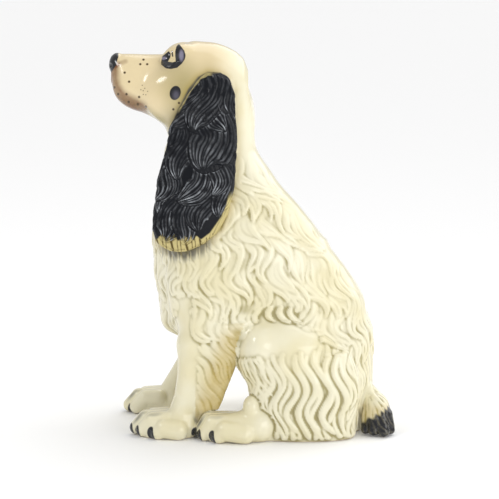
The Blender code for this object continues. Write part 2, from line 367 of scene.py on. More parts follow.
def locks(clay, rng, roots, down, length, width, height, wave, period, splits=1,
          lift=0.3, tail=0.45, spare=0.2, steps=24):
    """Wavy locks that come to a point: each is a raised bed that carries `splits` strands.

    `lift` is a lock's height at its root, as a share of `height`; `tail` is the share of its
    length over which it comes to a point. Returns paths, half widths and heights.
    """
    count = len(roots)
    long = length * rng.uniform(1 - spare, 1 + spare, count)
    swing = math.radians(wave) * rng.uniform(0.75, 1.15, count)
    flow = wavy(down, swing, period, rng.normal(0, 0.3, count))
    path = trace(clay, roots, flow, steps, long / steps)
    s = np.linspace(0, 1, steps + 1)[None, :]
    taper = np.minimum(1, (s + 0.05) / 0.2) ** 0.5 * np.clip((1.02 - s) / tail, 0, 1) ** 0.7
    wide = width / 2 * rng.uniform(0.8, 1.2, (count, 1)) * taper
    rise = (lift + (1 - lift) * s**0.8) * np.clip((1.01 - s) / 0.1, 0, 1) ** 0.5
    tall = height * rng.uniform(0.8, 1.2, (count, 1)) * rise
    if splits < 2:
        return path, wide, tall
    flat = path.reshape(-1, 3)
    across = np.cross(clay.normal(flat), np.gradient(path, axis=1).reshape(-1, 3))
    across = (across / (np.linalg.norm(across, axis=1, keepdims=True) + 1e-9)).reshape(path.shape)
    paths, wides, talls = [path], [wide], [tall * 0.45]
    for share in np.linspace(-1, 1, splits):
        wobble = np.sin(s * rng.uniform(3, 8, (count, 1)) + rng.uniform(0, 6.3, (count, 1)))
        aside = share * (1 - 1 / splits) + wobble * 0.6 / splits
        offset = across * (aside * wide)[..., None]
        paths.append(clay.settle((path + offset).reshape(-1, 3)).reshape(path.shape))
        wides.append(wide * 1.25 / splits)
        talls.append(tall * rng.uniform(0.65, 1.0, (count, 1)) * (1 - 0.3 * share**2))
    return np.concatenate(paths), np.concatenate(wides), np.concatenate(talls)


# ---------- the sculpture

# Stations of the lofts: place, low edge, high edge, half width and, in some, outward shift.
TRUNK = [
    (92, -68, 92, 49), (99, -77, 98, 52), (108, -88, 104, 54), (118, -93.5, 109, 55.5),
    (143, -96.5, 108, 58), (164, -99.5, 97, 59.5), (186, -101, 81, 59.5), (208, -101, 66.5, 57.5),
    (233, -99.5, 46.5, 54), (252, -96, 29.5, 49.5), (270, -93, 17, 45.5), (283, -91, 8, 43),
    (290, -90, 4.5, 42), (299, -86.5, 2.5, 41.5), (312, -82, 2, 41), (330, -70, 1.2, 39.5),
    (344, -62, -3, 35), (356, -50, -13, 26),
]
RUMP = [
    (-8, 4, 119, 50), (20, 1, 123, 54), (60, -2, 124.5, 55), (90, -2, 124.5, 54),
    (113, 4, 121.5, 51), (132, 16, 114, 46), (152, 32, 98, 38), (170, 42, 82, 22),
    (186, 54, 68, 7),
]
SKIRT = [
    (-8, -2, 104, 22), (20, -2, 106, 23.5), (50, -2.5, 107, 24.5), (70, -6, 105, 24.5),
    (88, -10, 96, 22),
]
FEATHER = [
    (12, -72, -57, 4.5), (25, -72, -41, 6), (48, -68, -29.5, 8), (77, -64, -18, 11),
    (102, -60, -8, 15), (118, -58, -2, 16),
]
HEAD = [
    (-143, 357, 384, 9), (-140, 348, 386.5, 13.5), (-133, 338.5, 387, 18.5),
    (-124, 332, 387, 21.5), (-110, 326.5, 386.6, 24), (-98, 320, 386.6, 27),
    (-90, 313.5, 386.8, 31), (-84, 306, 388, 35), (-75, 299, 393.8, 39), (-63, 294, 399.3, 41.5),
    (-50, 291, 399.3, 42.5), (-36, 291, 397.6, 42), (-23, 293, 392.6, 39), (-13, 299, 386, 33),
    (-8, 308, 380, 27), (-4.5, 320, 370.5, 18),
]
EAR = [
    (368, -44, -34, 3, -13), (364, -52, -27, 4.5, -12), (353, -61, -19.5, 6, -9),
    (334, -71, -18, 7, -6), (314, -81, -16.5, 8, -3), (284, -87.5, -17.5, 9, 0),
    (253, -95, -20.5, 9.5, 3), (228, -98.5, -28, 9.5, 6), (211, -97, -40, 8.5, 8),
    (201, -91, -53, 6.5, 8.5), (196, -81, -66, 4, 8.5),
]
EAR_Y = 53.0
DRAIN_HOLE = (52.0, 0.0, 10.0)          # x, y, radius
DOME = (36.0, 81.0, 53.0, 42.0, 12.5)   # the haunch's smooth dome: x, z, radii and tilt
CURLS = [(9, 136), (19.5, 137), (29.5, 136), (39, 134.5)]       # roots of the crescents above it
DOME_EDGE = [(-20, 76), (0, 84), (17, 89), (54, 92), (70, 101), (90, 116)]      # x and height

# Toes, as distance outwards from the foot's middle and place of the tip.
FORE_TOES = [(-12, -119), (-4.2, -126.5), (4.2, -119.5), (12.5, -104.5)]
HIND_TOES = [(-11, -58), (-3.8, -60), (3.8, -56), (11.5, -42)]
# Bars of a toe, as (x, z, radius) of its root, knuckle and pad. The last two count x from the tip.
FORE_TOE = [(-88, 18, 8.8), (17, 17.5, 8.2), (7.4, 7.5, 7.4)]
FORE_OUTER_TOE = [(-76, 9, 11), (14, 11, 10), (8.5, 7.5, 8.5)]
HIND_TOE = [(-18, 18, 8.8), (15, 19, 8), (7, 7, 7.2)]
HIND_OUTER_TOE = [(-8, 10, 11.5), (14, 12.5, 10.5), (8, 7.5, 8.5)]

# Overlapping locks of the ears: root x, z, tip x, z, width, strands.
EAR_LOCKS = [
    (-83, 276, -92, 228, 20, 6), (-60, 252, -86, 202, 22, 7), (-52, 252, -66, 199, 22, 7),
    (-34, 258, -48, 210, 22, 7), (-26, 284, -30, 226, 18, 6), (-74, 300, -93, 238, 22, 7),
    (-30, 292, -70, 240, 34, 10), (-22, 300, -32, 246, 18, 6), (-70, 326, -84, 268, 22, 7),
    (-20, 334, -20, 280, 16, 5), (-38, 340, -43, 274, 38, 11), (-30, 362, -21, 318, 20, 6),
    (-46, 366, -76, 310, 24, 8), (-36, 366, -46, 318, 26, 8),
]


def sculpt_body(clay):
    clay.add(stack(TRUNK, "Z"), 1.0, TORSO)
    clay.add(stack(RUMP, "Z"), 22.0, TORSO)
    clay.add(limb([(-68, 0, 116, 20), (-30, 0, 92, 24), (20, 0, 92, 26)]), 10.0, TORSO)
    clay.add(blob((-82, 0, 119), (11.5, 22, 18)), 6.0, TORSO)
    for side in (-1, 1):
        tuck = 0.0 if side < 0 else RIGHT_SKIRT_TUCK
        skirt = [(z, front + tuck, back, half) for z, front, back, half in SKIRT]
        clay.add(stack(skirt, "Z", side * HAUNCH_Y), 8.0, TORSO)
        dome_x, dome_z, radius_x, radius_z, tilt = DOME
        dome = blob((dome_x, side * DOME_Y, dome_z), (radius_x, 33, radius_z), -tilt)
        clay.add(dome, 3.0, TORSO)
        clay.add(blob((7, side * DOME_Y, 95), (20.5, 31.5, 25)), 8.0, TORSO)
        clay.add(blob((-42, side * 42, 150), (42, 21, 60), pitch=8), 14.0, TORSO)
        sculpt_foreleg(clay, side)
        sculpt_hind_foot(clay, side)
    sculpt_tail(clay)
    sculpt_head(clay)
    x, y, radius = DRAIN_HOLE
    clay.carve(limb([(x, y, -30, radius), (x, y, 6, radius)]), 1.0)


def paw(side, out_y, right_shift, toes):
    """Middle y, shift along x and toes (y, tip x) of a paw on the left (-1) or right (1)."""
    y = side * out_y
    shift = 0.0 if side < 0 else right_shift
    return y, shift, [(y + side * out, tip + shift) for out, tip in toes]


def fore_paw(side):
    return paw(side, FORELEG_Y, -RIGHT_PAW_LEAD, FORE_TOES)


def hind_paw(side):
    return paw(side, HIND_FOOT_Y, RIGHT_FOOT_BACK, HIND_TOES)


def sculpt_toes(clay, toes, shift, inner, outer, part):
    for k, (y, tip) in enumerate(toes):
        root, knuckle, pad = outer if k == 3 else inner
        bars = [(root[0] + shift, y, *root[1:]), (tip + knuckle[0], y, *knuckle[1:]),
                (tip + pad[0], y, *pad[1:])]
        clay.add(limb(bars), 1.6, part)


def sculpt_foreleg(clay, side):
    y, lead, toes = fore_paw(side)
    part = LEFT_LEG if side < 0 else RIGHT_LEG
    column = [(-50, y * 0.96, 128, 21), (-60, y, 96, 15.5), (-65, y, 62, 11.8),
              (-69 + lead * 0.7, y, 40, 11.2), (-74 + lead, y, 24, 12)]
    clay.add(limb(column[:2]), 10.0, TORSO)
    clay.add(limb(column[1:]), 8.0, part)
    feather = [(z, front + lead * (1 - z / 118), back + lead * (1 - z / 118), half)
               for z, front, back, half in FEATHER]
    clay.add(stack(feather, "Z", y), 7.0, part)
    clay.add(limb([(-70 + lead, y, 9, 15.5), (-98 + lead, y, 9, 16.5)]), 6.0, part)
    sculpt_toes(clay, toes, lead, FORE_TOE, FORE_OUTER_TOE, part)


def sculpt_hind_foot(clay, side):
    y, lead, toes = hind_paw(side)
    part = LEFT_FOOT if side < 0 else RIGHT_FOOT
    clay.add(limb([(6 + lead, y, 15, 18), (-34 + lead, y, 10, 15.5)]), 5.0, part)
    clay.add(blob((-1 + lead, y, 34), (9, 12, 12)), 5.0, part)
    sculpt_toes(clay, toes, lead, HIND_TOE, HIND_OUTER_TOE, part)


def sculpt_tail(clay):
    clay.add(limb([(106, -10, 46, 8), (119, -22, 38, 9.5), (128, -34, 28, 11)]), 6.0, TAIL)
    for tip_x, tip_y, thick in ((140.5, -46, 5.5), (134, -53, 6), (124, -50, 5.5), (116, -46, 4.5)):
        middle = (tip_x * 0.6 + 50.8, (tip_y - 34) / 2, 19, thick + 2.5)
        clay.add(limb([(127, -33, 29, 9), middle, (tip_x, tip_y, 5, thick - 1)]), 3.0, TAIL)


def sculpt_head(clay):
    clay.add(stack(HEAD, "X"), 12.0)
    for side in (-1, 1):
        clay.add(blob((-118, side * 10.5, 352), (23, 14, 18), pitch=-14), 8.0)
        clay.add(blob((-80, side * 26, 345), (26, 15, 26), pitch=-20), 15.0)
        clay.add(blob((-74, side * 19, 389), (15, 11, 8.5), pitch=14), 6.0)
        clay.add(blob((-82.5, side * 18, 381.5), (10.5, 12.5, 8.8)), 1.6)
        clay.add(blob((-77.5, side * 17, 384.5), (12, 12.5, 10.5), pitch=35), 1.2)
    clay.add(blob((-137.5, 0, 376), (8.2, 12.5, 11.8)), 1.4)
    for side in (-1, 1):
        nostril = [(-146, side * 5.5, 375, 2.4), (-142.5, side * 8.6, 375.5, 1.8)]
        clay.carve(limb(nostril), 1.6)
        lips = [(-144, side * 8, 346, 0.5), (-132, side * 17.5, 338, 0.8),
                (-116, side * 22.5, 333, 0.8), (-107, side * 24, 333, 0.3)]
        clay.carve(limb(lips), 2.0)
    clay.carve(limb([(-147, 0, 371, 0.9), (-145, 0, 364, 0.9), (-144, 0, 352, 0.8)]), 1.4)


def sculpt_ear(clay, side):
    clay.add(stack(EAR, "Z", side * EAR_Y, fullness=2.0), 1.0)
    clay.add(blob((-38, side * 38, 362), (15, 8, 8)), 6.0)


# ---------- the hair's layout

def back_share(p):
    """0 at the chest's front and 1 at the back's outline, at each point's height."""
    rows = smooth_rows(TRUNK, p[:, 2])
    return np.clip((p[:, 0] - rows[:, 0]) / (rows[:, 1] - rows[:, 0]), 0, 1)


def flank_down(p):
    """Hair lies down and, towards the back, along the back's slope."""
    share = back_share(p)
    high = ramp(150, 240, p[:, 2])
    elbow = 0.4 * ramp(165, 125, p[:, 2]) * ramp(8, -16, p[:, 0])
    back = 0.06 + 0.75 * share**1.5 * (0.4 + 0.6 * high) + elbow
    return np.stack([back, 0 * share, -np.ones(len(p))], 1)


def straight_down(p):
    return np.tile([0.03, 0.0, -1.0], (len(p), 1))


def feather_down(p):
    return np.tile([0.55, 0.0, -1.0], (len(p), 1))


def curl_down(p):
    """The crescents above the haunch's dome sweep forwards and then back."""
    turn = np.clip((spot(p[:, 0], p[:, 2], *DOME) - 7) / 7, -1, 1)
    return np.stack([0.3 - 1.3 * turn, 0 * turn, -np.ones(len(p))], 1)


def tail_down(p):
    fan = np.clip((p[:, 0] - 124) / 18, -0.8, 1.0)
    return np.stack([0.3 + fan, -0.5 + 0 * fan, -np.ones(len(p))], 1)


def dome_edge(x):
    """Height of the lower edge of the haunch's smooth dome, where the skirt's strands start."""
    at, height = zip(*DOME_EDGE)
    return np.interp(x, at, height)


def ring(height, spacing, shift):
    """Places around the trunk at one height, a spacing apart along its outline."""
    front, back, half, _ = smooth_rows([row + (0,) for row in TRUNK], np.array([height]))[0]
    turn = np.linspace(0, 2 * math.pi, 721)
    along, across = (np.sign(v) * np.abs(v) ** (2 / FULLNESS) for v in (np.cos(turn), np.sin(turn)))
    x = (front + back) / 2 - (back - front) / 2 * along
    y = half * across
    walked = np.concatenate([[0], np.cumsum(np.hypot(np.diff(x), np.diff(y)))])
    count = round(walked[-1] / spacing)
    at = (np.arange(count) + shift) / count * walked[-1]
    return np.stack([np.interp(at, walked, x), np.interp(at, walked, y), np.full(count, height)], 1)


def coat_roots(rng):
    """Roots of the trunk's locks, in staggered rows from the neck down."""
    rows = []
    for k, height in enumerate(np.arange(284, 116, -18.0)):
        row = ring(height, 13.0, 0.5 * (k % 2))
        rows.append(row + rng.normal(0, (1.5, 0.5, 6.0), row.shape))
    roots = np.concatenate(rows)
    roots = roots[(roots[:, 0] > -58) | (roots[:, 2] < 246)]
    return roots[spot(roots[:, 0], roots[:, 2], *DOME) > 4]


def body_hair(clay, points, part, rng):
    """Heights of the body's carved hair."""
    x, y, z = points.T
    side = np.abs(y)
    share = back_share(points)
    torso = part == TORSO
    on_dome = (spot(x, z, *DOME) < 0) & (side > 34)

    def strewn(mask, spacing):
        return spread(rng, points[mask], spacing)

    curls = np.array([(x, y, z) for x, z in CURLS for y in (-CURL_Y, CURL_Y)])
    skirt = torso & (np.abs(z - dome_edge(x)) < 3.5) & (x > -10) & (x < 96) & (side > 30)
    skirt_low = torso & (np.abs(z - 34) < 4) & (x > -12) & (side > 24)
    rear = torso & (z > 36) & (z < 120) & (x > 88) & ~on_dome
    feather = (z < 126) & (z > 20) & (x > -56) & (x < -4) & (side > 34) & (part < LEFT_FOOT)
    layers = [
        (coat_roots(rng), flank_down,
         dict(length=51, width=15.5, height=5.0, wave=42, period=47, splits=2, lift=0.1, tail=0.65)),
        (curls, curl_down,
         dict(length=23, width=8.5, height=4.4, wave=3, period=26, lift=0.7, tail=0.5)),
        (strewn(skirt, 7.4), straight_down,
         dict(length=98, width=8.8, height=5.0, wave=35, period=54, lift=0.1, tail=0.1, spare=0.05,
              steps=40)),
        (strewn(skirt_low, 10), straight_down,
         dict(length=36, width=6, height=3.2, wave=32, period=56, lift=0.4, tail=0.1)),
        (strewn(rear, 11), straight_down,
         dict(length=56, width=10, height=3.6, wave=30, period=56, splits=2, lift=0.1)),
        (strewn(feather, 7), feather_down,
         dict(length=48, width=6.8, height=3.0, wave=20, period=40, lift=0.2)),
        (strewn(part == TAIL, 4.2), tail_down,
         dict(length=26, width=3.8, height=1.8, wave=10, period=30, lift=0.6)),
    ]
    raised = np.zeros(len(points))
    for roots, down, style in layers:
        path, wide, high = locks(clay, rng, roots, down, **style)
        path_x, path_y, path_z = np.moveaxis(path, 2, 0)
        out = spot(path_x, path_z, *DOME)
        flank = np.abs(path_y) > 40
        bare = (out < -2) | (spot(path_x, path_z, 6, 96, 21, 27) < 0)
        bare &= flank & (path_z > dome_edge(path_x) + 3)
        if down is not curl_down:
            bare |= flank & (out < 15) & (path_x > 0) & (path_x < 44) & (path_z > 112)
        bare |= (np.abs(path_x + 69) < 10) & (path_z < 150) & (np.abs(path_y) > 36)
        raised = np.maximum(raised, emboss(points, path, wide, np.where(bare, 0, high)))
    raised = np.where((part == LEFT_FOOT) | (part == RIGHT_FOOT), 0, raised)
    saddle = np.maximum(ramp(4, 34, side), ramp(128, 100, z))
    outline = 1 - 0.45 * ramp(0.7, 0.95, share) * ramp(116, 136, z)
    return raised * outline * np.maximum(saddle, ramp(0.45, 0.3, share))


# ---------- the painter's work, painted shade and painted highlights

def spot(x, z, center_x, center_z, radius_x, radius_z, tilt=0.0):
    """Distance to an ellipse in the side view. `tilt` leans its top towards the back, degrees."""
    t = math.radians(tilt)
    dx, dz = x - center_x, z - center_z
    dx, dz = dx * math.cos(t) - dz * math.sin(t), dz * math.cos(t) + dx * math.sin(t)
    near = np.sqrt((dx / radius_x) ** 2 + (dz / radius_z) ** 2)
    return (near - 1) * min(radius_x, radius_z)


def stroke(x, z, corners):
    """Distance to a line through (x, z) corners."""
    best = np.full(len(x), FAR)
    for (x0, z0), (x1, z1) in zip(corners, corners[1:]):
        t = ((x - x0) * (x1 - x0) + (z - z0) * (z1 - z0)) / ((x1 - x0) ** 2 + (z1 - z0) ** 2)
        t = np.clip(t, 0, 1)
        best = np.minimum(best, np.hypot(x - x0 - t * (x1 - x0), z - z0 - t * (z1 - z0)))
    return best


def patch(x, z, corners):
    """Distance to a closed outline through (x, z) corners, negative inside it."""
    inside = np.zeros(len(x), bool)
    following = corners[1:] + corners[:1]
    for (x0, z0), (x1, z1) in zip(corners, following):
        if z0 != z1:
            inside ^= ((z0 > z) != (z1 > z)) & (x < x0 + (z - z0) / (z1 - z0) * (x1 - x0))
    away = stroke(x, z, corners + corners[:1])
    return np.where(inside, -away, away)


SIGHT = math.tan(VIEW_TILT)             # marks are placed as the camera sees them
EAR_OUTLINE = [(row[side], row[0] - (EAR_Y + row[4]) * SIGHT)
               for side, rows in ((1, EAR), (2, EAR[::-1])) for row in rows]
EYE_PATCH = [
    (-73.9, 394.5), (-70.5, 390), (-68, 386.4), (-66.7, 381.8), (-67.5, 377.9), (-70.4, 373.2),
    (-75.1, 368.9), (-81.6, 367.8), (-86.6, 368.9), (-91.5, 373.4), (-91.7, 375.5), (-90.1, 381.7),
    (-86.5, 384.5), (-83.6, 386.5), (-81.6, 383.4), (-81.9, 379.8), (-84.4, 375.5), (-80.1, 374.8),
    (-76.6, 375.8), (-77.1, 381.2), (-77.1, 385.9), (-76, 391.2),
]
PUPIL = [(-80.3, 386), (-80.1, 383.6), (-79.7, 381)]
NOSE = [
    (-150, 391), (-136, 391), (-135.8, 387), (-135.3, 382.9), (-136.5, 378.4), (-137.3, 373.7),
    (-139.6, 370.9), (-142, 367.9), (-150, 367),
]
MUZZLE_DOTS = [
    (-109.8, 379.4), (-112.8, 374.4), (-105.8, 374.3), (-128.4, 365.7), (-123.8, 356.2),
    (-139.2, 351.3), (-135.4, 344.3), (-126.6, 343.8), (-113.8, 340.7), (-124.8, 336.3),
    (-115.5, 333.9), (-107.1, 330.9), (-73.1, 333.1), (-78.8, 326.9),
]
FRECKLES = [
    (-110.5, 352.3), (-111.9, 347.8), (-109.5, 346.7), (-107.8, 349), (-104.8, 345.7),
    (-109.4, 343), (-106.7, 342.4),
]
LIP_LINE = [(-144, 372), (-144, 360), (-142, 350), (-136, 341), (-127, 335), (-115, 328)]
POOLS = [(-15, 106, 5, 9), (-8, 135, 6, 4.5)]       # olive glaze before the haunch: x, z, radii
# the painted shadow under the jaw runs along this line
JAW_SHADOW_LINE = [(-140, 340), (-126, 331), (-106, 323), (-94, 314), (-86, 300)]


def ear_gap(points):
    """Distance to the ears' outline in the side view, negative inside it."""
    x, y, z = points.T
    return patch(x, z - np.abs(y) * SIGHT, EAR_OUTLINE)


def ochre_ear_shade(gap):
    """Ochre painted shade beside the ears."""
    return 0.35 * ramp(12, 1, gap)


def paint_head(points, hollow):
    x, y, z = points.T
    z = z - np.abs(y) * SIGHT
    eye = np.minimum(patch(x, z, EYE_PATCH), stroke(x, z, PUPIL) - 0.7)
    eye = eye + 9 * ramp(15, 9, np.abs(y))
    ink = np.minimum.reduce([eye, patch(x, z, NOSE), spot(x, z, -76.8, 343.1, 5.5, 7.2, 14)])
    dots = [np.hypot(x - dot_x, z - dot_z) - 1.25 for dot_x, dot_z in MUZZLE_DOTS]
    freckles = [np.hypot(x - dot_x, z - dot_z) - 0.55 for dot_x, dot_z in FRECKLES]
    lip = stroke(x, z, LIP_LINE)
    # painted shade in the crease behind the nostril, in brown
    nostril_crease_shade = stroke(x, z, [(-137, 374), (-128, 377.5)])
    gap = ear_gap(points)
    front = ramp(-28, -44, x)
    high = ramp(292, 312, z)
    # painted shade: olive darkening on the cheek, partly the head's own khaki tint, a painted shadow
    # under the jaw and painted shade beside the ear
    cheek_tint_and_shade = 0.6 * ramp(30, 3, np.hypot(x + 76, (z - 356) * 0.7))
    jaw_shadow = 0.9 * ramp(11, 0, stroke(x, z, JAW_SHADOW_LINE))
    ear_shade = 0.4 * ramp(26, 0, gap) + 0.3 * ramp(9, 2, gap)
    return {
        "warm": ramp(292, 335, z) * ramp(-6, -45, x),
        "ink": ink,
        "dots": np.minimum.reduce(dots + freckles),
        "brown": np.clip(1.6 * ramp(14, 1, lip), 0, 1) ** 1.2
        + 0.5 * ramp(4, 0.5, nostril_crease_shade),
        # painted shade: a dark line on the head along the ear's front and top edge
        "grey": 0.95 * ramp(4.4, 2.2, gap) * (0.1 + 0.9 * front)
        * ramp(18, 30, np.abs(y)) * ramp(292, 304, z),
        "ochre": ochre_ear_shade(gap),
        "olive": np.clip(hollow / 0.5, 0, 1) + high * (cheek_tint_and_shade + jaw_shadow + front * ear_shade),
        # painted highlight: lavender-grey reflections painted into the black eye lobes and the cheek
        # spot
        "wash": ramp(1, -1, spot(x, z, -70.9, 381.6, 2.2, 5.6))
        + ramp(0.8, -0.8, spot(x, z, -88.7, 379.2, 2.6, 1.6))
        + 0.35 * ramp(2, -2, spot(x, z, -76, 341, 3, 4)),
    }


def paint_body(points, part, hollow):
    x, y, z = points.T
    gap = ear_gap(points)
    # painted shade under the ears: a dark line along the ear and streaks fading downwards
    under = ramp(224, 210, z) * ramp(-100, -93, x) * ramp(-34, -48, x)
    under = under * ramp(22, 40, np.abs(y))
    streaks = np.sin(x * 1.5 + 2 * np.sin(x * 0.7) + y * 0.3)
    shade = np.clip(1.6 * ramp(17, 1, gap) - 0.45 + 0.45 * streaks, 0, 1)
    shade = under * np.maximum(0.85 * shade, ramp(2.6, 1.0, gap))
    ink = np.full(len(points), 9.0)
    toe_gap_shade = np.zeros(len(points))
    for side in (-1, 1):
        for toes in (fore_paw(side)[2], hind_paw(side)[2]):
            for k, (toe_y, tip) in enumerate(toes):
                size = 1.0 if k < 3 else 1.15
                nail = np.sqrt(((x - tip - 2) / 4.5) ** 2 + ((y - toe_y - 2.5 * side) / 4.3) ** 2
                               + ((z - 6) / 6.6) ** 2)
                ink = np.minimum(ink, (nail - size) * 3.5)
            # painted shade between the toes
            for (y0, tip0), (y1, tip1) in zip(toes, toes[1:]):
                reach = np.hypot((y - (y0 + y1) / 2) / 2.6, (x - max(tip0, tip1) - 5) / 9)
                toe_gap_shade = np.maximum(toe_gap_shade, ramp(1.2, 0.3, reach) * ramp(30, 18, z))
    pools = np.maximum.reduce([ramp(3, -3, spot(x, z, *pool)) for pool in POOLS])
    rear_edge = smooth_rows(FEATHER, z)[:, 1]
    feathered = ((part == LEFT_LEG) | (part == RIGHT_LEG)) & (x > -58)
    dipped = z - 0.55 * (x - 118) + 1.5 * np.sin(x * 1.1 + y * 0.8)
    brush = np.where(part == TAIL, ramp(18.5, 15, dipped), 0)
    none = np.zeros(len(points))
    return {
        "warm": none,
        "wash": none,
        "ink": ink,
        "dots": none + 9,
        "brown": none,
        "grey": np.maximum(shade, toe_gap_shade * 0.85),
        # ochre: the foreleg feather's and the tail's own tint, and painted shade beside the ears
        "ochre": np.where(feathered, 0.7 * ramp(36, 14, rear_edge - x)
                          * ramp(8, 24, z) * ramp(130, 102, z), 0)
        + np.where(part == TAIL, 0.4 * ramp(36, 26, z), 0) + ochre_ear_shade(gap),
        # olive: pooled glaze in the hair's grooves and the pools, and painted shade beside the ears
        "olive": np.clip(hollow / 0.4, 0, 1) + 0.4 * ramp(6, 0, gap)
        + np.where(np.abs(y) > 30, 0.6 * pools, 0),
        # painted highlight: the black tail tip is lighter on the hair's ridges
        "brush": brush * (1 - 0.16 * np.clip(-hollow / 0.4, 0, 1)),
        "bare": ramp(1.0, 0.3, z),
    }


# ---------- meshes

def vertex_normals(points, quads):
    a, b, c, d = (points[quads[:, k]] for k in range(4))
    face = np.cross(c - a, d - b)
    total = np.zeros_like(points)
    for k in range(4):
        np.add.at(total, quads[:, k], face)
    return total / (np.linalg.norm(total, axis=1, keepdims=True) + 1e-12)


def blurred(quads, values, times=1):
    """Average each value with its neighbours along the quads' edges."""
    for _ in range(times):
        total = np.zeros_like(values)
        count = np.zeros(len(values))
        for k in range(4):
            i, j = quads[:, k], quads[:, (k + 1) % 4]
            np.add.at(total, i, values[j])
            np.add.at(total, j, values[i])
            np.add.at(count, i, 1)
            np.add.at(count, j, 1)
        count = np.maximum(count, 1)
        mean = total / (count if values.ndim == 1 else count[:, None])
        values = (values + mean) / 2
    return values


def add_mesh(name, points, quads, normals, attributes, material):
    mesh = bpy.data.meshes.new(name)
    mesh.vertices.add(len(points))
    mesh.vertices.foreach_set("co", to_world(points).astype(np.float32).ravel())
    keep = np.ones(quads.shape, bool)
    keep[:, 3] = quads[:, 3] != quads[:, 2]
    loops = quads[keep]
    mesh.loops.add(len(loops))
    mesh.loops.foreach_set("vertex_index", loops.astype(np.int32))
    mesh.polygons.add(len(quads))
    starts = np.concatenate([[0], np.cumsum(keep.sum(1))[:-1]])
    mesh.polygons.foreach_set("loop_start", starts.astype(np.int32))
    mesh.polygons.foreach_set("use_smooth", np.ones(len(quads), bool))
    mesh.update(calc_edges=True)
    mesh.validate()
    for key, values in attributes.items():
        layer = mesh.attributes.new(key, "FLOAT", "POINT")
        layer.data.foreach_set("value", np.asarray(values, np.float32))
    if normals is not None:
        mesh.normals_split_custom_set_from_vertices([tuple(n) for n in normals])
    mesh.materials.append(material)
    obj = bpy.data.objects.new(name, mesh)
    bpy.context.scene.collection.objects.link(obj)
    return obj


def with_caps(points, quads, normals):
    """Close a piece's open edges. Each cap first goes straight in and is then a fan."""
    edges = np.concatenate([np.stack([quads[:, k], quads[:, (k + 1) % 4]], 1) for k in range(4)])
    keys = edges[:, 0] * 10**7 + edges[:, 1]
    back = edges[:, 1] * 10**7 + edges[:, 0]
    following = {int(a): int(b) for a, b in edges[~np.isin(keys, back)]}
    middle = points.mean(0)
    total = len(points)
    extra_points, extra_faces = [], []
    while following:
        start, here = next(iter(following.items()))
        loop = [start]
        del following[start]
        while here != start and here in following:
            loop.append(here)
            here = following.pop(here)
        if len(loop) < 3:
            continue
        inner = points[loop] - normals[loop] * 5
        for _ in range(6):
            inner = (inner + np.roll(inner, 1, 0) + np.roll(inner, -1, 0)) / 3
        hub = inner.mean(0)
        hub = hub + (middle - hub) / (np.linalg.norm(middle - hub) + 1e-9) * 3
        count = len(loop)
        for k in range(count):
            after = (k + 1) % count
            extra_faces.append((loop[after], loop[k], total + k, total + after))
            extra_faces.append((total + after, total + k, total + count, total + count))
        extra_points += [inner, hub[None]]
        total += count + 1
    if not extra_points:
        return points, quads
    return np.vstack([points, *extra_points]), np.vstack([quads, extra_faces])


def split_piece(points, quads, normals, attributes, chosen):
    """The chosen quads as a closed piece of their own."""
    faces = quads[chosen]
    used, faces = np.unique(faces, return_inverse=True)
    faces = faces.reshape(-1, 4)
    piece_points = points[used]
    closed, faces = with_caps(piece_points, faces, normals[used])
    extra = len(closed) - len(piece_points)
    piece_normals = np.vstack([normals[used], np.zeros((extra, 3))])
    values = {key: np.append(v[used], [np.median(v[used])] * extra)
              for key, v in attributes.items()}
    return closed, faces, piece_normals, values


# ---------- glazes

class Nodes:
    """Short calls for building a material's nodes."""
    def __init__(self, name):
        self.material = bpy.data.materials.new(name)
        self.material.use_nodes = True
        self.tree = self.material.node_tree
        self.shader = self.tree.nodes["Principled BSDF"]

    def node(self, kind, **settings):
        made = self.tree.nodes.new(kind)
        for key, value in settings.items():
            setattr(made, key, value)
        return made

    def link(self, source, target):
        self.tree.links.new(source, target)

    def put(self, socket, value):
        if hasattr(value, "is_output"):
            self.link(value, socket)
        else:
            socket.default_value = value

    def attribute(self, name):
        return self.node("ShaderNodeAttribute", attribute_name=name).outputs["Fac"]

    def math(self, operation, *values):
        made = self.node("ShaderNodeMath", operation=operation)
        for socket, value in zip(made.inputs, values):
            self.put(socket, value)
        return made.outputs[0]

    def ramp(self, value, low, high):
        made = self.node("ShaderNodeMapRange", interpolation_type="SMOOTHSTEP")
        self.put(made.inputs["Value"], value)
        made.inputs["From Min"].default_value = low
        made.inputs["From Max"].default_value = high
        return made.outputs["Result"]

    def mix(self, share, a, b):
        made = self.node("ShaderNodeMix", data_type="RGBA")
        self.put(made.inputs[0], share)
        self.put(made.inputs[6], a if hasattr(a, "is_output") else (*a, 1.0))
        self.put(made.inputs[7], b if hasattr(b, "is_output") else (*b, 1.0))
        return made.outputs[2]

    def noise(self, scale, detail=3.0):
        made = self.node("ShaderNodeTexNoise")
        made.inputs["Scale"].default_value = scale
        made.inputs["Detail"].default_value = detail
        self.link(self.node("ShaderNodeTexCoord").outputs["Object"], made.inputs["Vector"])
        return made.outputs["Fac"]

    def shade(self, color, settings):
        """Give the shader its colour and settings, each a value or a node's output."""
        for key, value in {"Base Color": color, **settings}.items():
            self.put(self.shader.inputs[key], value)
        return self.material


CREAM = (0.79, 0.725, 0.48)
CREAM_LIGHT = (0.84, 0.795, 0.60)
PEACH = (0.77, 0.635, 0.385)
OLIVE = (0.30, 0.25, 0.075)
BLACK = (0.008, 0.009, 0.012)
LAVENDER_SHEEN = (0.28, 0.26, 0.36)
DOT_BROWN = (0.07, 0.04, 0.012)
BROWN = (0.19, 0.078, 0.024)
SHADE_GREY = (0.045, 0.05, 0.055)
OCHRE = (0.52, 0.37, 0.07)
BISCUIT = (0.62, 0.50, 0.38)
SHEEN = (0.55, 0.58, 0.62)
EAR_HEM = (0.58, 0.49, 0.22)
EAR_HEM_SHADE = (0.10, 0.07, 0.02)
PAPER = (0.97, 0.97, 0.97, 1)


